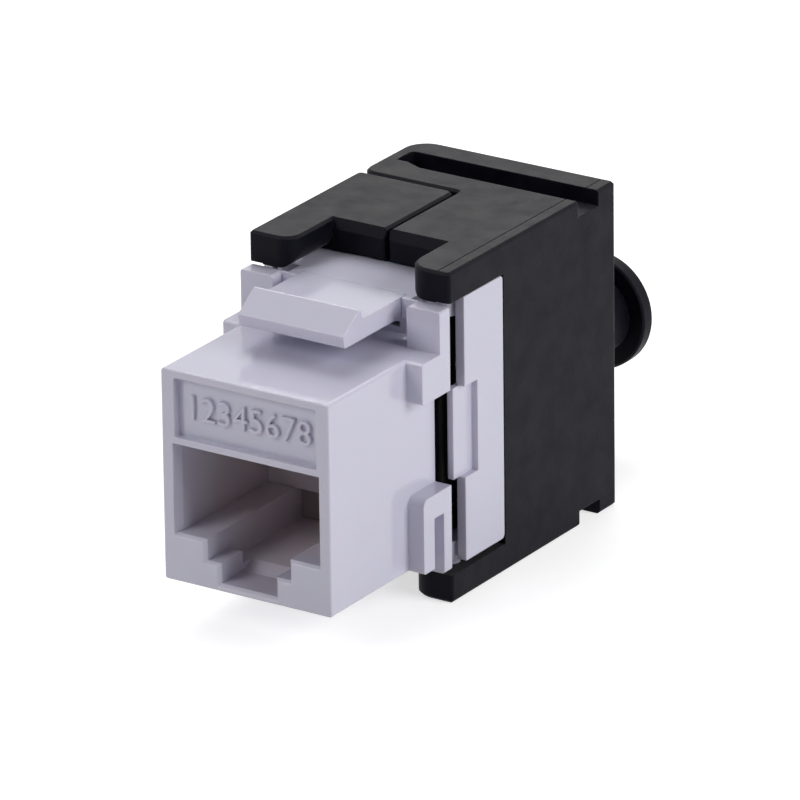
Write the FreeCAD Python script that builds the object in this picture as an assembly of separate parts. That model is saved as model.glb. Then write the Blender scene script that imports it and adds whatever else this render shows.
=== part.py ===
"""Snap-in keystone jack with a tool-free rear cover, in millimetres.

The frame: +Y runs from the plug port to the cable, +Z is up, and X is across.
Heights below are counted from a level just above the underside of the port housing.
Each solid is moved at the end so that the origin is the middle of the plug port's mouth.
"""
import FreeCAD, Part
import math
import os
from FreeCAD import Vector

# Fits
fit_gap = 0.05            # between moulded pieces that clip together
running_gap = 0.06        # round a pivot
swing_gap = 0.2           # between a swinging piece and what it passes
root_gap = 0.015          # round the latch arm's root
overrun = 1.0             # how far a cut reaches past the face that it opens

# Port housing: the block that fills a keystone opening
body_width = 14.5
body_height = 16.3
body_depth = 13.85
block_low = -0.15         # underside of the block
top_corner = 0.3          # long upper edges of the block
bottom_corner = 0.2
front_edge = 0.08         # rim of the port face
body_half = body_width / 2

# Plug port, open to the front
label_band = 5.7          # of block above the port
port_width = body_width - 2.4
port_floor = 3.6
port_roof = body_height - label_band
port_depth = body_depth - 2.05
lead_in = 0.3             # flare of the port's side walls at the mouth
lead_in_depth = 0.8
tab_slot_width = port_width - 4.9     # the plug tab's shoulders
tab_slot_floor = 1.95
tab_neck_width = tab_slot_width - 2.4  # the plug tab's tongue
tab_neck_floor = 0.4
tab_lip_depth = 3.0       # lip that the tab's shoulders catch behind
tab_bay_floor = 1.0
tab_ramp_length = 1.1     # from the tongue's floor up to the bay's
mouth_edge = 0.25         # eased edges of the ledges at the mouth
port_axis_height = (port_floor + port_roof) / 2

# Label recess above the port
label_width = port_width + 0.2
label_low = port_roof + 0.5
label_high = body_height - 0.6
label_depth = 0.65
label_corner = 0.2

# Pocket behind the port for the contact carrier and the circuit board
pocket_half_width = body_half - 0.75
pocket_floor = tab_bay_floor
pocket_roof = body_height - 1.6

# Decks behind the block, over and under the terminals, that carry the pivots
deck_top = body_height + 3.25
deck_bottom = -1.2
deck_thickness = 1.55
deck_front = body_depth - 0.17
deck_back = body_depth + 5.5
deck_corner = 0.4
deck_step = 0.05          # of the deck behind the block, before it necks in
arm_bottom = deck_top - deck_thickness

# Side lugs and ears that stop against the back of the panel
lug_reach = 1.4           # beyond the block's side
lug_root = 0.5            # of each lug and ear that is sunk in the block
lug_front = body_depth - 3.72
lug_edge = 0.2
lug_corner = 0.65
upper_lug_low = body_height - 3.2
lower_lug_low = -0.1
lower_lug_high = 5.7
ear_front = body_depth - 1.35
ear_inner = body_half - 1.45
ear_chamfer = 0.2
lug_slot_front = body_depth - 2.3
lug_slot_back = body_depth - 1.03
lug_slot_high = 3.85
lug_slot_depth = 0.9
lower_ear_low = deck_bottom + 0.25
lug_outer = body_half + lug_reach

# Latch arm with its wedge, and the fixed hook under the block
arm_half_width = ear_inner - 1.25
arm_side_gap = 0.03
arm_root = body_depth - 0.1           # axis of the flexing root
arm_length = 7.65
root_radius = deck_thickness / 2
root_height = deck_top - root_radius
wedge_front = arm_root - arm_length
wedge_foot = deck_top - 0.6           # top of the wedge's blunt front
wedge_ridge = deck_top + 0.87
wedge_edge = 0.15
ridge_front = arm_root - 5.45
ridge_back = arm_root - 5.1
ridge_edge = 0.1
bridge_half_width = arm_half_width + 0.05
bridge_front = body_depth + 0.9
bridge_back = body_depth + 2.15
core_hole_middle = arm_half_width - 1.2   # small holes through the bridge, beside the arm's root
core_hole_width = 0.8
core_hole_low = body_height + 0.45
core_hole_high = body_height + 0.85
hook_half_width = bridge_half_width
hook_front = lug_front - 3.53
hook_crest = lug_front - 1.63
hook_back = lug_front - 1.13
hook_drop = 1.0
hook_edge = 0.2

# Rear cover, in two halves
cover_half = lug_outer + 0.05
cover_top = deck_top + 2.6
cover_bottom = deck_bottom - 2.45
cover_front = body_depth - 0.12
cover_length = 22.72
cover_back = cover_front + cover_length
cover_corner = 2.0        # rear left corner
back_corner = 0.3         # rear right corner
cover_edge = 0.2
side_wall = 1.2
roof_wall = 1.6
rear_roof_wall = 2.45     # behind the seam, under the tie groove
rear_floor_wall = 2.2
rear_wall = 2.3

# Swing of the rear cover's halves
pivot_x = cover_half - 1.9
pivot_y = body_depth + 2.45
pivot_radius = 0.85
pivot_length = 1.35
pivot_shoulder = 0.1      # of deck left round the pivot
swing_inset = 1.45        # of the deck's neck, from the pivot's axis

# Front lips of the cover, over and under the decks, and the arms to the pivots
lip_front = body_depth + 5.2
lip_bevel_back = 0.33
lip_bevel_drop = 0.85
lip_wall_front = deck_back + 0.1
lip_thickness = 1.2
lip_top = deck_top - 0.1
lip_bottom = deck_bottom + 0.05
arm_inner = cover_half - 3.8
arm_underside = deck_top + 0.17
arm_edge = 1.3
arm_corner = 0.3
right_tip_radius = 1.9
left_tip_radius = 1.4

# Seam between the halves, a little to the left of the middle
seam_gap = 0.28
seam_place = -0.15
seam_length = 14.84
seam_back = cover_front + seam_length
seam_corner = 0.3
seam_end_corner = 1.1
seam_rear_corner = 0.5
side_line_width = 0.08
side_line_depth = 0.08
side_line_inset = 1.05

# Windows in the cover's sides
window_length = 7.27
window_back = cover_front + window_length
window_top = deck_top + 0.25
window_bottom = deck_bottom - 0.25

# Groove for a cable tie, over the top and under the bottom
groove_front = cover_back - 5.2
groove_back = cover_back - 2.37
groove_depth = 1.25
groove_under_depth = 1.22
groove_end = cover_half - 1.05
groove_taper_length = 2.5
groove_taper_depth = 0.65
groove_corner = 0.5

# Cable neck and its end flange
neck_height = 0.4 * body_height
neck_radius = 3.25
neck_bore = 2.75
neck_length = 11.92
flange_radius = 4.6
flange_back = cover_back + neck_length
flange_thickness = 1.3
flange_edge = 0.15

# White wire guides in the windows
guide_thickness = 0.75
guide_front = body_depth + 1.83
guide_back = window_back - 0.12
guide_top = window_top - fit_gap
guide_bottom = deck_bottom + 0.3
guide_corner = 0.35
guide_notch_low = lower_lug_high - 0.05
guide_notch_high = upper_lug_low - 0.33
guide_notch_back = body_depth + 3.53
guide_notch_depth = 0.5
guide_tab_front = body_depth + 1.0
guide_tab_thickness = 0.5
rib_width = 0.8
rib_length = 1.0
rib_taper = 0.1
rib_spread = 0.95
tongue_length = 1.7
tongue_thickness = 0.4

# Contact carrier and plug springs
contact_count = 8
contact_pitch = 0.0843 * port_width
spring_thickness = 0.3
spring_width = 0.35
spring_top = port_roof - 0.3
spring_front = 4.2
spring_drop = 0.4
spring_tip = port_depth - 1.4
spring_low = port_roof - 2.6
spring_bend = 0.55
comb_thickness = 0.85
comb_front = 3.4
comb_half_width = contact_count * contact_pitch / 2 + 1.1
carrier_thickness = 0.8
carrier_half_width = pocket_half_width - 0.1

# Circuit board, terminal block and forked terminals
board_thickness = 1.2
board_front = port_depth + carrier_thickness
board_back = board_front + board_thickness
block_half_width = body_half - 0.85
block_neck_half_width = pivot_x - 1.7
block_step = body_depth + 2.4
block_back = deck_back + 4.85
block_front_corner = 0.6
block_back_corner = 0.5
blade_count = 4           # on each side
blade_pitch = 0.27 * (pocket_roof - pocket_floor)
blade_middle = (pocket_roof + pocket_floor) / 2
blade_place = deck_back - 0.35
blade_thickness = 0.4
blade_height = 2.2
blade_outer = block_half_width - 0.2
blade_inner = block_half_width - 3.8
fork_width = 0.45
fork_root = block_half_width - 1.9
fork_flare = 0.35
fork_land = 0.2
wire_slot_height = 1.2
wire_slot_inner = block_half_width - 2.5
wire_stop = 0.8           # wall at the front end of a wire slot
leg_width = 0.5
rib_tip = block_half_width + 0.25


def box(x0, x1, y0, y1, z0, z1):
    return Part.makeBox(x1 - x0, y1 - y0, z1 - z0, Vector(x0, y0, z0))


def outline(corners):
    """Closed wire in the XY plane through corners (a, b) or (a, b, radius)."""
    runs = []
    for index, corner in enumerate(corners):
        here = Vector(corner[0], corner[1], 0)
        radius = corner[2] if len(corner) > 2 else 0
        before = Vector(corners[index - 1][0], corners[index - 1][1], 0)
        after = corners[(index + 1) % len(corners)]
        to_before = (before - here).normalize()
        to_after = (Vector(after[0], after[1], 0) - here).normalize()
        if not radius:
            runs.append((here, here, here))
            continue
        half_angle = to_before.getAngle(to_after) / 2
        reach = radius / math.tan(half_angle)
        middle = (to_before + to_after).normalize()
        nearest = here + middle * (radius / math.sin(half_angle) - radius)
        runs.append((here + to_before * reach, nearest, here + to_after * reach))
    shortest = 1e-6
    edges = []
    for index, (start, nearest, end) in enumerate(runs):
        if start.distanceToPoint(end) > shortest:
            edges.append(Part.Arc(start, nearest, end).toShape())
        following = runs[(index + 1) % len(runs)][0]
        if end.distanceToPoint(following) > shortest:
            edges.append(Part.LineSegment(end, following).toShape())
    return Part.Wire(edges)


def extrude(axis, face, low, high):
    solid = face.extrude(Vector(0, 0, high - low))
    solid.translate(Vector(0, 0, low))
    if axis == "x":
        solid.rotate(Vector(0, 0, 0), Vector(1, 1, 1), 120)
    if axis == "y":
        solid.rotate(Vector(0, 0, 0), Vector(1, 0, 0), 90)
        solid = solid.mirror(Vector(0, 0, 0), Vector(0, 1, 0))
    return solid


def prism(axis, corners, low, high):
    """Extrude an outline along an axis; its corners are in the other two, in order."""
    return extrude(axis, Part.Face(outline(corners)), low, high)


def rod(axis, radius, a, b, low, high):
    return extrude(axis, Part.Face(Part.Wire(Part.makeCircle(radius, Vector(a, b, 0)))), low, high)


def both_sides(solid):
    return [solid, solid.mirror(Vector(0, 0, 0), Vector(1, 0, 0))]


def chamfer_rims(solid, size, across):
    """Chamfer the edges that lie flat across an axis, as round a slab's two faces."""
    flat = 1e-6
    rims = [edge for edge in solid.Edges if getattr(edge.BoundBox, across + "Length") < flat]
    return solid.makeChamfer(size, rims)


def keep(name, shape):
    shape = shape.removeSplitter()
    shape.translate(Vector(0, 0, -port_axis_height))
    os.makedirs("parts", exist_ok=True)
    shape.exportStep(f"parts/{name}.step")


# ---------------------------------------------------------------- port housing
def housing_block():
    corners = [(-body_half, block_low, bottom_corner), (body_half, block_low, bottom_corner),
               (body_half, body_height, top_corner), (-body_half, body_height, top_corner)]
    block = prism("y", corners, 0, body_depth)
    touching = 1e-6
    rim = [edge for edge in block.Edges if edge.BoundBox.YMax < touching]
    return block.makeChamfer(front_edge, rim)


def eased_front(half, low, high):
    """Widens one step of the port where it meets the port face, below and at the sides."""
    wide = half + 2 * mouth_edge
    deep = low - 2 * mouth_edge
    below = prism("x", [(-mouth_edge, deep), (mouth_edge, low), (mouth_edge, high), (-mouth_edge, high)],
                  -wide, wide)
    beside = prism("z", [(-wide, -mouth_edge), (wide, -mouth_edge), (half, mouth_edge), (-half, mouth_edge)],
                   deep, high)
    return below.common(beside)


def port_cavity():
    half = port_width / 2
    flare = half + lead_in
    mouth = prism("z", [(-flare, -overrun), (flare, -overrun), (flare, 0), (half, lead_in_depth),
                        (half, port_depth), (-half, port_depth), (-half, lead_in_depth), (-flare, 0)],
                  port_floor, port_roof)
    slot_half = tab_slot_width / 2
    neck_half = tab_neck_width / 2
    slot = box(-slot_half, slot_half, -overrun, port_depth, tab_slot_floor, port_floor)
    neck = box(-neck_half, neck_half, -overrun, tab_lip_depth, tab_neck_floor, tab_slot_floor)
    ramp = prism("x", [(tab_lip_depth, tab_neck_floor), (tab_lip_depth + tab_ramp_length, tab_bay_floor),
                       (tab_lip_depth, tab_bay_floor)], -neck_half, neck_half)
    bay = box(-slot_half, slot_half, tab_lip_depth, port_depth, tab_bay_floor, tab_slot_floor)
    pocket = box(-pocket_half_width, pocket_half_width, port_depth, body_depth + overrun,
                 pocket_floor, pocket_roof)
    eased = [eased_front(flare - mouth_edge, port_floor, port_axis_height),
             eased_front(slot_half, tab_slot_floor, port_floor),
             eased_front(neck_half, tab_neck_floor, tab_slot_floor)]
    return mouth.fuse([slot, neck, ramp, bay, pocket] + eased)


def label_recess():
    half = label_width / 2
    corners = [(-half, label_low, label_corner), (half, label_low, label_corner),
               (half, label_high, label_corner), (-half, label_high, label_corner)]
    return prism("y", corners, -overrun, label_depth)


def side_lugs():
    """The +X side's upper lug with its ear, and the lower lug with its slot and ear."""
    inside = body_half - lug_root
    ear_root = body_height - lug_root
    upper = prism("x", [(lug_front, upper_lug_low, lug_edge), (body_depth, upper_lug_low),
                        (body_depth, body_height), (lug_front, body_height, lug_edge)], inside, lug_outer)
    ear = prism("y", [(ear_inner, ear_root), (lug_outer, ear_root), (lug_outer, deck_top, lug_edge),
                      (ear_inner + ear_chamfer, deck_top), (ear_inner, deck_top - ear_chamfer)],
                ear_front, body_depth)
    lower = prism("x", [(lug_front, lower_lug_low, lug_edge), (body_depth, lower_lug_low),
                        (body_depth, lower_lug_high), (lug_front, lower_lug_high, lug_corner)],
                  inside, lug_outer)
    slot = box(lug_outer - lug_slot_depth, lug_outer + overrun, lug_slot_front, lug_slot_back,
               lower_lug_low - overrun, lug_slot_high)
    lower_ear = prism("y", [(ear_inner, lower_ear_low), (lug_outer, lower_ear_low, lug_edge),
                            (lug_outer, lug_root), (ear_inner, lug_root)], lug_slot_back, body_depth)
    return upper.fuse([ear, lower.cut(slot), lower_ear])


def deck(low, high):
    """Tongue behind the block, necked in where a wire guide's end swings past the pivot."""
    neck = pivot_radius + pivot_shoulder
    swept = pivot_x - swing_inset
    shoulder = ear_inner + ear_chamfer
    half = prism("z", [(0, deck_front), (shoulder, deck_front), (shoulder, body_depth + deck_step),
                       (swept, body_depth + deck_step), (swept, pivot_y - neck),
                       (pivot_x + neck, pivot_y - neck, neck), (pivot_x + neck, deck_back, deck_corner),
                       (0, deck_back)], low, high)
    return both_sides(half)


def deck_bridge():
    """Joins the top deck to the block behind the latch arm."""
    inside = body_depth - overrun
    bridge = prism("x", [(inside, pocket_roof), (bridge_back, pocket_roof), (bridge_back, arm_bottom),
                         (bridge_front, arm_bottom), (bridge_front, body_height), (inside, body_height)],
                   -bridge_half_width, bridge_half_width)
    hole = box(core_hole_middle - core_hole_width / 2, core_hole_middle + core_hole_width / 2,
               bridge_front - overrun, bridge_back + overrun, core_hole_low, core_hole_high)
    return bridge.cut(both_sides(hole))


def deck_root():
    """Ramp that joins the bottom deck to the underside of the block."""
    sunk = 0.1
    back = body_depth + lug_root
    return prism("x", [(body_depth - overrun, sunk), (body_depth - overrun, block_low),
                       (body_depth, deck_bottom), (back, deck_bottom),
                       (back, deck_bottom + deck_thickness),
                       (body_depth - sunk, deck_bottom + deck_thickness)],
                 -bridge_half_width, bridge_half_width)


def panel_hook():
    sunk = 0.1
    return prism("x", [(hook_front, sunk), (hook_front, block_low), (hook_crest, -hook_drop, hook_edge),
                       (hook_back, -hook_drop, sunk), (hook_back, sunk)],
                 -hook_half_width, hook_half_width)


def pivots():
    upper = rod("z", pivot_radius, pivot_x, pivot_y, arm_bottom, deck_top + pivot_length)
    lower = rod("z", pivot_radius, pivot_x, pivot_y, deck_bottom - pivot_length,
                deck_bottom + deck_thickness)
    return both_sides(upper) + both_sides(lower)


def arm_root_shape(half_width, gap):
    """Latch arm's root: round below, where it turns in the deck, and square above."""
    radius = root_radius + gap
    barrel = rod("x", radius, arm_root, root_height, -half_width, half_width)
    return barrel.fuse(box(-half_width, half_width, arm_root, arm_root + radius, root_height, deck_top))


def arm_clearance():
    """Room for the latch arm and the groove that its root turns in."""
    half = arm_half_width + arm_side_gap
    room = box(-half, half, deck_front - overrun, arm_root, arm_bottom - root_gap, deck_top + overrun)
    return arm_root_shape(half, root_gap).fuse(room)


def front_housing():
    solid = housing_block().cut(port_cavity()).cut(label_recess())
    added = both_sides(side_lugs()) + [deck_bridge(), deck_root(), panel_hook()] + pivots()
    added += deck(arm_bottom, deck_top) + deck(deck_bottom, deck_bottom + deck_thickness)
    return solid.fuse(added).cut(arm_clearance())


def latch_arm():
    arm = prism("x", [(wedge_front + wedge_edge, arm_bottom, wedge_edge), (arm_root, arm_bottom),
                      (arm_root, deck_top), (ridge_back, deck_top, ridge_edge),
                      (ridge_front, wedge_ridge, ridge_edge), (wedge_front, wedge_foot, ridge_edge)],
                -arm_half_width, arm_half_width)
    return arm.fuse(arm_root_shape(arm_half_width, 0))


# ------------------------------------------------------- contacts, board and terminals
def contact_places():
    first = -(contact_count - 1) / 2 * contact_pitch
    return [first + index * contact_pitch for index in range(contact_count)]


def contact_carrier():
    back = board_front - fit_gap
    comb_top = port_roof - fit_gap
    plate = box(-carrier_half_width, carrier_half_width, port_depth, back,
                pocket_floor + fit_gap, pocket_roof - fit_gap)
    comb = box(-comb_half_width, comb_half_width, comb_front, back, comb_top - comb_thickness, comb_top)
    under = box(-tab_slot_width / 2, tab_slot_width / 2, port_depth - overrun, back + overrun,
                pocket_floor, port_floor)
    solid = plate.cut(under).fuse(comb)
    half_slot = spring_width / 2 + fit_gap
    for place in contact_places():
        solid = solid.cut(box(place - half_slot, place + half_slot, comb_front - overrun, back + overrun,
                              port_roof - overrun, spring_top + fit_gap))
    return solid


def contact_spring(place):
    """Flat strip that runs forward in the comb, turns back on itself and slopes down to its tip."""
    low = spring_top - spring_thickness
    fold = low - spring_drop
    inner = spring_front + spring_thickness
    outer_bend = spring_bend - lug_edge / 2
    inner_bend = spring_thickness / 2
    return prism("x", [(board_front, low), (board_front, spring_top), (spring_front, spring_top, spring_bend),
                       (spring_front, fold - spring_thickness, outer_bend), (spring_tip, spring_low),
                       (spring_tip, spring_low + spring_thickness), (inner, fold, inner_bend),
                       (inner, low, inner_bend)],
                 place - spring_width / 2, place + spring_width / 2)


def circuit_board():
    return box(-carrier_half_width, carrier_half_width, board_front, board_back,
               pocket_floor + fit_gap, pocket_roof - fit_gap)


def blade_heights():
    first = blade_middle - (blade_count - 1) / 2 * blade_pitch
    return [first + index * blade_pitch for index in range(blade_count)]


def idc_block():
    """Terminal block: wires lie in its side slots, across the forked blades."""
    neck = box(-block_neck_half_width, block_neck_half_width, board_back, block_step,
               pocket_floor + fit_gap, pocket_roof - fit_gap)
    head = prism("z", [(-block_half_width, block_step, block_front_corner),
                       (block_half_width, block_step, block_front_corner),
                       (block_half_width, block_back, block_back_corner),
                       (-block_half_width, block_back, block_back_corner)],
                 deck_bottom + deck_thickness + swing_gap / 2, arm_bottom - swing_gap / 2)
    solid = neck.fuse(head)
    outside = block_half_width + overrun
    half_blade = blade_thickness / 2 + fit_gap
    half_blade_height = blade_height / 2 + fit_gap
    half_leg = leg_width / 2 + fit_gap
    half_wire = wire_slot_height / 2
    room = []
    for height in blade_heights():
        wire_slot = box(wire_slot_inner, outside, block_step + wire_stop, block_back + overrun,
                        height - half_wire, height + half_wire)
        blade_slot = box(blade_inner - fit_gap, outside, blade_place - half_blade, blade_place + half_blade,
                         height - half_blade_height, height + half_blade_height)
        leg_slot = box(blade_inner - fit_gap, blade_inner + leg_width + fit_gap, board_back - overrun,
                       blade_place + half_blade, height - half_leg, height + half_leg)
        for cut in (wire_slot, blade_slot, leg_slot):
            room += both_sides(cut)
    return solid.cut(room)


def idc_blade(height):
    """Forked terminal that bites through the wire's insulation, with a leg to the board."""
    half = blade_height / 2
    slit = fork_width / 2
    throat = slit + fork_flare
    shoulder = blade_outer - fork_flare
    slit_end = slit * 0.6
    tine = [(blade_outer, throat + fork_land), (blade_outer, throat), (shoulder, slit)]
    lower = [(x, height - rise) for x, rise in tine]
    upper = [(x, height + rise) for x, rise in reversed(tine)]
    corners = [(blade_inner, height - half), (shoulder, height - half)] + lower
    corners += [(fork_root, height - slit, slit_end), (fork_root, height + slit, slit_end)] + upper
    corners += [(shoulder, height + half), (blade_inner, height + half)]
    fork = prism("y", corners, blade_place - blade_thickness / 2, blade_place + blade_thickness / 2)
    leg = box(blade_inner, blade_inner + leg_width, board_back, blade_place,
              height - leg_width / 2, height + leg_width / 2)
    return fork.fuse(leg)


# ------------------------------------------------------------------- rear cover halves
def cover_slab(corners):
    """Upright slab of the cover, with its rims eased and the fronts of its lips bevelled."""
    slab = chamfer_rims(prism("z", corners, cover_bottom, cover_top), cover_edge, "Z")
    bevelled = lip_front + lip_bevel_back
    far = cover_back + overrun
    return slab.common(prism("x", [(lip_front, cover_bottom + lip_bevel_drop), (bevelled, cover_bottom),
                                   (far, cover_bottom), (far, cover_top), (bevelled, cover_top),
                                   (lip_front, cover_top - lip_bevel_drop)],
                             -cover_half - overrun, cover_half + overrun))


def cover_arms(tip_radius):
    """The pair of arms, over and under the housing's decks, on the +X side."""
    rear = lip_front + lip_bevel_back + cover_edge
    outer = cover_half + overrun
    side = cover_half - side_wall
    plan = prism("z", [(arm_inner, cover_front, tip_radius), (cover_half, cover_front, arm_corner),
                       (cover_half, rear + overrun), (arm_inner, rear + overrun)], cover_bottom, cover_top)
    plan = chamfer_rims(plan, cover_edge, "Z")
    upper = [(arm_inner, cover_top + overrun), (outer, cover_top + overrun), (outer, window_top),
             (side, window_top), (side, arm_underside), (arm_inner, arm_underside, arm_edge)]
    lower = [(arm_inner, cover_bottom - overrun), (outer, cover_bottom - overrun),
             (outer, window_bottom), (arm_inner, window_bottom, arm_edge)]
    return [plan.common(prism("y", profile, cover_front - overrun, rear)) for profile in (upper, lower)]


def cover_room():
    """Hollow of the cover ahead of the seam, with the window in the +X side wall."""
    side = cover_half - side_wall
    far = cover_half + overrun
    ahead = lip_front - overrun
    lip_wall_back = lip_wall_front + lip_thickness
    over_decks = box(-far, far, ahead, lip_wall_front, window_bottom, arm_underside)
    between_lips = box(-far, side, ahead, lip_wall_back, lip_bottom, lip_top)
    hollow = box(-far, side, lip_wall_back, seam_back + seam_gap,
                 cover_bottom + roof_wall, cover_top - roof_wall)
    window = box(side - fit_gap, far, ahead, window_back, window_bottom, window_top)
    return [over_decks, between_lips, hollow, window]


def pivot_holes():
    radius = pivot_radius + running_gap
    deep = pivot_length + running_gap * 2
    upper = rod("z", radius, pivot_x, pivot_y, deck_top, deck_top + deep)
    lower = rod("z", radius, pivot_x, pivot_y, deck_bottom - deep, deck_bottom)
    return [upper, lower]


def tie_grooves():
    """Grooves for a cable tie: the top one narrows to a closed end on the -X side."""
    out = cover_half + overrun
    taper = groove_front + groove_taper_depth
    top = prism("z", [(out, groove_front), (out, groove_back), (-groove_end, groove_back, groove_corner),
                      (-groove_end, taper), (groove_taper_depth * 1.5 - groove_end, taper),
                      (groove_taper_length - groove_end, groove_front, groove_corner)],
                cover_top - groove_depth, cover_top + overrun)
    under = box(-out, out, groove_front, groove_back, cover_bottom - overrun,
                cover_bottom + groove_under_depth)
    return [top, under]


def side_line():
    """Fine joint line of the mould along the top."""
    middle = cover_half - side_line_inset
    half = side_line_width / 2
    return box(middle - half, middle + half, cover_front - overrun, cover_back + overrun,
               cover_top - side_line_depth, cover_top + overrun)


def cable_neck():
    tube = rod("y", neck_radius, 0, neck_height, cover_back - rear_wall / 2, flange_back - flange_edge)
    flange = rod("y", flange_radius, 0, neck_height, flange_back - flange_thickness, flange_back)
    return tube.fuse(chamfer_rims(flange, flange_edge, "Y"))


def cable_bore():
    return rod("y", neck_bore, 0, neck_height, cover_back - rear_wall - overrun, flange_back + overrun)


def right_shell():
    near = seam_place + seam_gap / 2
    behind = seam_back + seam_gap / 2
    side = cover_half - side_wall
    solid = cover_slab([(cover_half, lip_front), (cover_half, cover_back, back_corner),
                        (-cover_half, cover_back, cover_corner), (-cover_half, behind, seam_end_corner),
                        (near, behind, seam_corner), (near, lip_front, seam_corner)])
    rear_hollow = box(-side, side, behind - lug_root, cover_back - rear_wall,
                      cover_bottom + rear_floor_wall, cover_top - rear_roof_wall)
    solid = solid.cut(cover_room() + [rear_hollow])
    solid = solid.fuse(cover_arms(right_tip_radius) + [cable_neck()])
    return solid.cut(pivot_holes() + tie_grooves() + [side_line(), cable_bore()])


def left_shell():
    """Built on the +X side and mirrored."""
    near = seam_gap / 2 - seam_place
    behind = seam_back - seam_gap / 2
    solid = cover_slab([(cover_half, lip_front), (cover_half, behind, seam_rear_corner),
                        (near, behind, seam_rear_corner), (near, lip_front, seam_corner)])
    solid = solid.cut(cover_room()).fuse(cover_arms(left_tip_radius)).cut(pivot_holes())
    return solid.mirror(Vector(0, 0, 0), Vector(1, 0, 0))


def wire_guide():
    """Insert in the +X window: an outer plate, ribs that press the wires home, and a snap tongue."""
    inner = cover_half - guide_thickness
    notched = cover_half - guide_notch_depth
    embedded = inner + rib_taper
    plate = prism("x", [(guide_front, guide_bottom), (guide_back, guide_bottom, guide_corner),
                        (guide_back, guide_top, guide_corner), (guide_front, guide_top)], inner, cover_half)
    notch = box(notched, cover_half + overrun, guide_front - overrun, guide_notch_back,
                guide_notch_low, guide_notch_high)
    tab = box(notched - guide_tab_thickness, notched, guide_tab_front, guide_notch_back,
              guide_notch_low, guide_notch_high)
    wall_inner = cover_half - side_wall - fit_gap
    tongue_inner = wall_inner - tongue_thickness
    tongue = prism("z", [(embedded, guide_back), (wall_inner, guide_back),
                         (wall_inner, guide_back + tongue_length), (tongue_inner, guide_back + tongue_length),
                         (tongue_inner, guide_back - tongue_thickness),
                         (embedded, guide_back - tongue_thickness)],
                   guide_bottom + overrun, arm_bottom)
    half = rib_length / 2
    half_tip = half - rib_taper
    ribs = []
    for height in blade_heights():
        for middle in (blade_place - rib_spread, blade_place + rib_spread):
            ribs.append(prism("z", [(embedded, middle - half), (embedded, middle + half),
                                    (rib_tip, middle + half_tip), (rib_tip, middle - half_tip)],
                              height - rib_width / 2, height + rib_width / 2))
    return plate.cut(notch).fuse([tab, tongue] + ribs)


# ----------------------------------------------------------------------- all the pieces
keep("front_housing", front_housing())
keep("latch_arm", latch_arm())
keep("contact_carrier", contact_carrier())
for index, place in enumerate(contact_places()):
    keep(f"contact_spring_{index + 1}", contact_spring(place))
keep("circuit_board", circuit_board())
keep("idc_block", idc_block())
for index, height in enumerate(blade_heights()):
    right_blade, left_blade = both_sides(idc_blade(height))
    keep(f"right_idc_blade_{index + 1}", right_blade)
    keep(f"left_idc_blade_{index + 1}", left_blade)
keep("right_shell", right_shell())
keep("left_shell", left_shell())
right_guide, left_guide = both_sides(wire_guide())
keep("right_wire_guide", right_guide)
keep("left_wire_guide", left_guide)
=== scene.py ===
import math

import bmesh
import bpy
from mathutils import Matrix, Vector


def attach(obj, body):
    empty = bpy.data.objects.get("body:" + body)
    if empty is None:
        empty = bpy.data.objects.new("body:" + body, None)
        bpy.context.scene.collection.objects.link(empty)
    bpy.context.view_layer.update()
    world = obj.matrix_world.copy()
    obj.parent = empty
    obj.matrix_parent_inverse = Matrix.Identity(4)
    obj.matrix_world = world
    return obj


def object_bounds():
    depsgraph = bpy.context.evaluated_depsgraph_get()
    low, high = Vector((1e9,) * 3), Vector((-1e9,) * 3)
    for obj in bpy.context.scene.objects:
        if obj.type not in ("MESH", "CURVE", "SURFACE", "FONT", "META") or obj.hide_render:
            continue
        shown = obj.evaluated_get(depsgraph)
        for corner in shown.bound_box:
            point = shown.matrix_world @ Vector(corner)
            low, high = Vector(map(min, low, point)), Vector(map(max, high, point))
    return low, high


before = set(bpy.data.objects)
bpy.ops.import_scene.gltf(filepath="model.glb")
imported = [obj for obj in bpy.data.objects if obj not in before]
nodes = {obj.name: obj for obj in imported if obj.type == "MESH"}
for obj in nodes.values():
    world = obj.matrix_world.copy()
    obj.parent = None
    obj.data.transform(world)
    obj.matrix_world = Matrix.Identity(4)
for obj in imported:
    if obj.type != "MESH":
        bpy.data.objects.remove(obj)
cad_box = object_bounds()
MM = 0.001

# ------------------------------------------------------------------ front housing
# The port block with its lugs, ears and decks, one injection moulding in white ABS.
# The mould is polished, so the skin is glossy, with slow waves where the walls sank.


def node_adder(tree):
    """A helper that adds a node to this tree, with its inputs set or linked."""
    def add(kind, inputs=(), **settings):
        node = tree.nodes.new(kind)
        for key, value in settings.items():
            setattr(node, key, value)
        for socket, value in dict(inputs).items():
            if isinstance(value, bpy.types.NodeSocket):
                tree.links.new(value, node.inputs[socket])
            else:
                node.inputs[socket].default_value = value
        return node

    return add


def new_material(name):
    """A node material with its shader, its node adder and a helper that links sockets."""
    material = bpy.data.materials.new(name)
    material.use_nodes = True
    tree = material.node_tree
    return material, tree.nodes["Principled BSDF"], node_adder(tree), tree.links.new


def object_place(add):
    """Where a point lies on its own piece, so that a pattern moves with the piece."""
    return add("ShaderNodeTexCoord").outputs["Object"]


def grain(add, place, size, detail=3.0):
    """Noise whose patches are about this many metres across."""
    noise = add("ShaderNodeTexNoise", {"Vector": place, "Scale": 1 / size, "Detail": detail})
    return noise.outputs["Fac"]


# Most of a noise's values lie between these two.
noise_low = 0.3
noise_high = 0.7


def spread(add, noise, low, high):
    """Noise stretched on to low..high."""
    stretched = add("ShaderNodeMapRange", {"Value": noise, "From Min": noise_low, "From Max": noise_high,
                                           "To Min": low, "To Max": high})
    return stretched.outputs["Result"]


def uneven(add, place, patch, low, high, detail=3.0):
    """A value that wanders between low and high in patches of this size."""
    return spread(add, grain(add, place, patch, detail), low, high)


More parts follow.
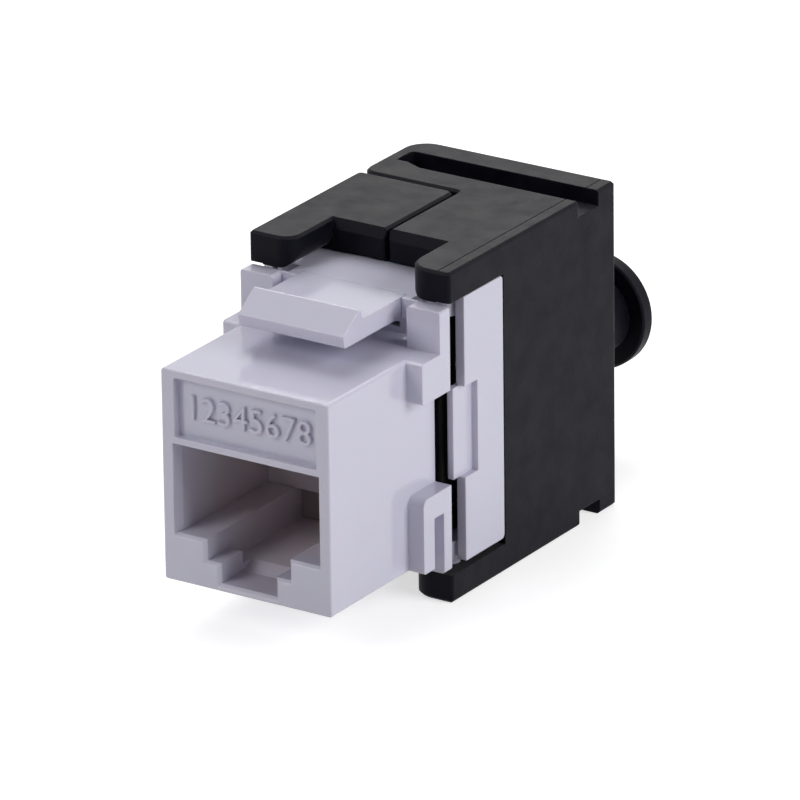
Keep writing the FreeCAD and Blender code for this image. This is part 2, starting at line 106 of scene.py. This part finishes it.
def blend_colours(add, noise, low, high):
    """Two colours, mixed by the noise."""
    ramp = add("ShaderNodeValToRGB", {"Fac": noise})
    first, last = ramp.color_ramp.elements
    first.position = noise_low
    first.color = (*low, 1)
    last.position = noise_high
    last.color = (*high, 1)
    return ramp.outputs["Color"]


def cover_colour(add, amount, under, over):
    """A colour laid over another by this amount, through the mix node's colour sockets."""
    amount_socket = 0
    under_socket = 6
    over_socket = 7
    result_socket = 2
    mix = add("ShaderNodeMix", {amount_socket: amount, under_socket: under, over_socket: (*over, 1)},
              data_type="RGBA")
    return mix.outputs[result_socket]


def rounded_edges(add, radius):
    """A normal that bends round sharp edges as a moulding's small radii do."""
    return add("ShaderNodeBevel", {"Radius": radius}, samples=6).outputs["Normal"]


def raised(add, height, strength, depth, normal):
    """Bumps of this depth in metres on top of a normal."""
    bump = add("ShaderNodeBump", {"Height": height, "Strength": strength, "Distance": depth,
                                  "Normal": normal})
    return bump.outputs["Normal"]


def multiplied(add, first, second, **settings):
    product = add("ShaderNodeMath", {0: first, 1: second}, operation="MULTIPLY", **settings)
    return product.outputs[0]


def port_shade_mask(add, place):
    """How deep a point lies in the plug port, which sets how much painted shade it gets: 0 outside it and
    at its mouth, 1 inside.
    """
    shade_start = 0.5 * MM
    shade_full = 6 * MM
    side_limit = 6.2 * MM
    roof_limit = 3.6 * MM
    floor_limit = -6.8 * MM
    along = add("ShaderNodeSeparateXYZ", {"Vector": place}).outputs
    across = add("ShaderNodeMath", {0: along["X"]}, operation="ABSOLUTE").outputs[0]
    walls = [(across, "LESS_THAN", side_limit), (along["Z"], "LESS_THAN", roof_limit),
             (along["Z"], "GREATER_THAN", floor_limit)]
    shade_ramp = add("ShaderNodeMapRange", {"Value": along["Y"], "From Min": shade_start, "From Max": shade_full})
    inside = shade_ramp.outputs["Result"]
    for position, test, limit in walls:
        within = add("ShaderNodeMath", {0: position, 1: limit}, operation=test).outputs[0]
        inside = multiplied(add, inside, within)
    return inside


def white_plastic(name, light=(0.585, 0.572, 0.685), shade=(0.577, 0.564, 0.677), port=None):
    """Polished white ABS, with painted shade, a warmer and darker colour, in the depth of the port where
    one is given.
    """
    tone_patch = 5 * MM
    gloss_patch = 1.5 * MM
    edge_radius = 0.13 * MM
    wave_width = 3 * MM
    wave_depth = 0.1 * MM
    pore_width = 0.12 * MM
    pore_depth = 0.01 * MM
    bump_strength = 0.05
    glow_depth = 0.8 * MM

    material, shader, add, link = new_material(name)
    place = object_place(add)
    colour = blend_colours(add, grain(add, place, tone_patch), shade, light)
    # Painted shade: deep in the port the colour turns warmer and darker, standing in for the shade there.
    if port:
        colour = cover_colour(add, port_shade_mask(add, place), colour, port)
    link(colour, shader.inputs["Base Color"])
    link(uneven(add, place, gloss_patch, 0.11, 0.17), shader.inputs["Roughness"])

    edges = rounded_edges(add, edge_radius)
    waves = raised(add, grain(add, place, wave_width, 1.0), bump_strength, wave_depth, edges)
    skin = raised(add, grain(add, place, pore_width), bump_strength, pore_depth, waves)
    link(skin, shader.inputs["Normal"])
    shader.inputs["IOR"].default_value = 1.55

    # Light goes a little way into the plastic, red the furthest.
    shader.inputs["Subsurface Weight"].default_value = 0.25
    shader.inputs["Subsurface Radius"].default_value = (1.0, 0.55, 0.45)
    shader.inputs["Subsurface Scale"].default_value = glow_depth
    return material


def dress(names, material):
    for name in names:
        mesh = nodes[name].data
        mesh.materials.clear()
        mesh.materials.append(material)


# Painted shade: the walls deep in the port are coloured a little warmer and darker than the skin outside,
# standing in for the shade that falls inside it.
port_painted_shade = (0.56, 0.505, 0.56)
dress(["front_housing"], white_plastic("housing_moulding", port=port_painted_shade))

# ------------------------------------------------------------------ contact numbers
# Plain numbers for the eight contacts, raised from the floor of the label recess. They
# are engraved in the mould, so they are one with the housing and share its skin.

white_moulding = white_plastic("white_moulding")
recess_floor = 0.65 * MM
recess_middle = 6.3 * MM
number_size = 2.7 * MM
number_pitch = 1.38 * MM
number_relief = 0.25 * MM
number_edge = 0.03 * MM
contacts = 8
for contact in range(contacts):
    name = f"contact_number_{contact + 1}"
    engraving = bpy.data.curves.new(name, "FONT")
    engraving.body = str(contact + 1)
    engraving.align_x = "CENTER"
    engraving.align_y = "CENTER"
    engraving.size = number_size
    engraving.extrude = number_relief
    engraving.bevel_depth = number_edge
    engraving.bevel_resolution = 1
    engraving.offset = -number_edge
    engraving.materials.append(white_moulding)
    number = bpy.data.objects.new(name, engraving)
    across = (contact - (contacts - 1) / 2) * number_pitch
    number.location = (across, recess_floor, recess_middle)
    number.rotation_euler = (math.radians(90), 0, 0)
    bpy.context.scene.collection.objects.link(number)
    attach(number, "housing")

# ------------------------------------------------------------------------ latch arm
# The sprung arm whose wedge snaps behind the edge of the panel. It is moulded in one
# with the housing, in the same white ABS, and bends at its root.

dress(["latch_arm"], white_moulding)

# ------------------------------------------------- contact carrier, springs and board
# A white comb closes the port at the back and holds eight gold-plated bronze springs,
# whose tails are soldered to a bare glass-fibre board behind it.


def dark_plastic(name, low, high, roughness):
    """A matt moulding or board with a finely pitted skin."""
    tone_patch = 3 * MM
    gloss_patch = 0.8 * MM
    edge_radius = 0.12 * MM
    pit_width = 0.16 * MM
    pit_depth = 0.02 * MM
    pit_strength = 0.35

    material, shader, add, link = new_material(name)
    place = object_place(add)
    link(blend_colours(add, grain(add, place, tone_patch), low, high), shader.inputs["Base Color"])
    link(uneven(add, place, gloss_patch, *roughness), shader.inputs["Roughness"])
    edges = rounded_edges(add, edge_radius)
    pits = raised(add, grain(add, place, pit_width), pit_strength, pit_depth, edges)
    link(pits, shader.inputs["Normal"])
    shader.inputs["Specular IOR Level"].default_value = 0.2
    return material


def plated_metal(name, colour, roughness):
    """Plating that is duller and rougher in patches."""
    tone_patch = 0.4 * MM
    gloss_patch = 0.1 * MM
    dullness = 0.85
    unevenness = 0.06

    material, shader, add, link = new_material(name)
    place = object_place(add)
    duller = tuple(dullness * part for part in colour)
    link(blend_colours(add, grain(add, place, tone_patch), duller, colour), shader.inputs["Base Color"])
    link(uneven(add, place, gloss_patch, roughness - unevenness, roughness + unevenness),
         shader.inputs["Roughness"])
    shader.inputs["Metallic"].default_value = 1.0
    return material


# Painted shade: the comb lies deep in the port, so both its tones are warmer and darker than the white
# outside, the darker one the port's painted shade.
carrier_paler_shade = (0.57, 0.515, 0.57)
dress(["contact_carrier"], white_plastic("carrier_moulding", carrier_paler_shade, port_painted_shade))

gold_plating = plated_metal("gold_plating", (0.83, 0.60, 0.27), 0.24)
dress([name for name in nodes if name.startswith("contact_spring")], gold_plating)

board_low = (0.24, 0.20, 0.21)
board_high = (0.29, 0.24, 0.25)
dress(["circuit_board"], dark_plastic("glass_fibre", board_low, board_high, (0.3, 0.4)))

# ------------------------------------------------------- terminal block and its blades
# A black block between the decks, with four wire slots a side. A forked tin-plated
# blade stands across each slot and cuts through the insulation of its wire.

block_low = (0.006, 0.006, 0.008)
block_high = (0.009, 0.009, 0.011)
dress(["idc_block"], dark_plastic("block_moulding", block_low, block_high, (0.45, 0.6)))

tin_plating = plated_metal("tin_plating", (0.72, 0.72, 0.70), 0.35)
dress([name for name in nodes if "idc_blade" in name], tin_plating)

# ------------------------------------------------------------------ rear cover halves
# Two black ABS mouldings that close like jaws over the terminals. Their mould was
# spark-eroded, so the skin has a fine even grain and shows handling smudges.


def black_plastic(name):
    """Black ABS with a grained skin, dusty on top, where the dust colour also paints sheen, with painted
    glints at its corners.
    """
    smudge_width = 2.2 * MM
    smudge_low = (0.0018, 0.0017, 0.0044)
    smudge_high = (0.0038, 0.0037, 0.0070)
    edge_radius = 0.12 * MM
    spark_width = 0.22 * MM
    spark_depth = 0.03 * MM
    spark_strength = 0.35
    dust_and_sheen_patch = 1.3 * MM
    dust_and_sheen_colour = (0.026, 0.025, 0.026)
    glint_width = 0.5 * MM
    glint_colour = (0.060, 0.058, 0.062)

    material, shader, add, link = new_material(name)
    place = object_place(add)
    smudges = grain(add, place, smudge_width, 6.0)
    clean = blend_colours(add, smudges, smudge_low, smudge_high)
    link(spread(add, smudges, 0.40, 0.56), shader.inputs["Roughness"])

    edges = rounded_edges(add, edge_radius)
    sparks = raised(add, grain(add, place, spark_width, 4.0), spark_strength, spark_depth, edges)
    link(sparks, shader.inputs["Normal"])

    # Dust lies in patches on the faces that look up, and its pale colour also paints sheen there: the
    # tops read lighter, as glancing light makes them.
    facing = add("ShaderNodeNewGeometry").outputs["Normal"]
    up = add("ShaderNodeSeparateXYZ", {"Vector": facing}).outputs["Z"]
    level = add("ShaderNodeMapRange", {"Value": up, "From Min": 0.6, "From Max": 0.95})
    patches = uneven(add, place, dust_and_sheen_patch, 0.3, 1.0, 8.0)
    dust_and_sheen = multiplied(add, level.outputs["Result"], patches)
    dusty_and_sheened = cover_colour(add, dust_and_sheen, clean, dust_and_sheen_colour)

    # Painted highlights: the corners are pale here and there, as glints where light catches the edges.
    turned = add("ShaderNodeVectorMath", {0: edges, 1: facing}, operation="DOT_PRODUCT").outputs["Value"]
    corner = add("ShaderNodeMapRange", {"Value": turned, "From Min": 0.97, "From Max": 0.80})
    glints = uneven(add, place, glint_width, -1.0, 1.0, 6.0)
    glinting = multiplied(add, corner.outputs["Result"], glints, use_clamp=True)
    glinted = cover_colour(add, glinting, dusty_and_sheened, glint_colour)
    link(glinted, shader.inputs["Base Color"])

    shader.inputs["Specular IOR Level"].default_value = 0.088
    shader.inputs["Specular Tint"].default_value = (0.90, 0.89, 1.0, 1)
    shader.inputs["Sheen Weight"].default_value = 0.10
    shader.inputs["Sheen Roughness"].default_value = 0.3
    return material


dress(["right_shell", "left_shell"], black_plastic("black_moulding"))

# ------------------------------------------------------------------------ wire guides
# White ABS inserts that fill the windows in the cover's sides. Ribs on their inner
# face press the wires into the blades as the cover is closed.

dress(["right_wire_guide", "left_wire_guide"], white_plastic("guide_moulding"))

# ------------------------------------------------------------- table, lamps and camera
# A white paper table under three soft lamps, in a room that is dim to the object and
# white to the eye. The camera looks down on the front and the right side.

low, high = cad_box
middle = Vector((0, (low[1] + high[1]) / 2, 0))
scene = bpy.context.scene

table_half = 1.2
table_gap = 0.02 * MM
table = bpy.data.meshes.new("table_top")
build = bmesh.new()
bmesh.ops.create_grid(build, x_segments=8, y_segments=8, size=table_half)
build.to_mesh(table)
build.free()
table_top = bpy.data.objects.new("table_top", table)
table_top.location = (0, 0, low[2] - table_gap)
scene.collection.objects.link(table_top)


def seen_as_background(add):
    """1 for what the eye, a mirror or a clear piece shows, 0 for what lights the object."""
    ray = add("ShaderNodeLightPath").outputs
    either = add("ShaderNodeMath", {0: ray["Is Camera Ray"], 1: ray["Is Glossy Ray"]},
                 operation="MAXIMUM").outputs[0]
    any_ray = add("ShaderNodeMath", {0: either, 1: ray["Is Transmission Ray"]}, operation="MAXIMUM")
    return any_ray.outputs[0]


paper_patch = 40 * MM
paper_low = (0.69, 0.69, 0.69)
paper_high = (0.71, 0.71, 0.71)
paper_glow = 0.62
paper, shader, add, link = new_material("white_paper")
patches = grain(add, object_place(add), paper_patch)
link(blend_colours(add, patches, paper_low, paper_high), shader.inputs["Base Color"])
shader.inputs["Roughness"].default_value = 0.9
shader.inputs["Specular IOR Level"].default_value = 0.1
shader.inputs["Emission Color"].default_value = (1, 1, 1, 1)
link(multiplied(add, seen_as_background(add), paper_glow), shader.inputs["Emission Strength"])

# The sheet hides nothing from below, so that the jack's underside can be seen.
underneath = add("ShaderNodeNewGeometry").outputs["Backfacing"]
clear = add("ShaderNodeBsdfTransparent").outputs[0]
one_sided = add("ShaderNodeMixShader", {0: underneath, 1: shader.outputs[0], 2: clear}).outputs[0]
link(one_sided, paper.node_tree.nodes["Material Output"].inputs["Surface"])
table.materials.append(paper)

room_colour = (0.96, 0.97, 1.0, 1)
room_strength = 0.13
world = bpy.data.worlds.new("studio")
world.use_nodes = True
world.node_tree.nodes.clear()
add = node_adder(world.node_tree)
ambient = add("ShaderNodeBackground", {"Color": room_colour, "Strength": room_strength}).outputs[0]
white = add("ShaderNodeBackground", {"Color": (1, 1, 1, 1), "Strength": 1.0}).outputs[0]
room = add("ShaderNodeMixShader", {0: seen_as_background(add), 1: ambient, 2: white}).outputs[0]
add("ShaderNodeOutputWorld", {"Surface": room})
scene.world = world


def soft_lamp(name, place, width, power):
    """A square lamp that faces the middle of the object."""
    lamp = bpy.data.lights.new(name, "AREA")
    lamp.shape = "SQUARE"
    lamp.size = width
    lamp.energy = power
    holder = bpy.data.objects.new(name, lamp)
    holder.location = place
    holder.rotation_euler = (middle - Vector(place)).to_track_quat("-Z", "Y").to_euler()
    scene.collection.objects.link(holder)


soft_lamp("back_softbox", place=(-0.50, 0.62, 1.05), width=0.9, power=10.0)
soft_lamp("right_softbox", place=(0.95, 0.12, 0.45), width=0.6, power=7.3)
soft_lamp("left_softbox", place=(-0.45, -0.78, 0.63), width=0.45, power=3.7)

azimuth = math.radians(33.33)
elevation = math.radians(21.60)
roll = math.radians(0.72)
distance = 699.7 * MM
focal_length = 424.6
film_width = 36
nearest = 50 * MM
aim = Vector((-2.54 * MM, 24.2 * MM, -0.56 * MM))
towards = Vector((-math.sin(azimuth) * math.cos(elevation), math.cos(azimuth) * math.cos(elevation),
                  -math.sin(elevation)))
lens = bpy.data.cameras.new("camera")
lens.sensor_width = film_width
lens.lens = focal_length
lens.clip_start = nearest
camera = bpy.data.objects.new("camera", lens)
upright = towards.to_track_quat("-Z", "Y").to_matrix()
tilted = (upright @ Matrix.Rotation(-roll, 3, "Z")).to_4x4()
camera.matrix_world = Matrix.Translation(aim - towards * distance) @ tilted
scene.collection.objects.link(camera)
scene.camera = camera
scene.view_settings.view_transform = "Standard"
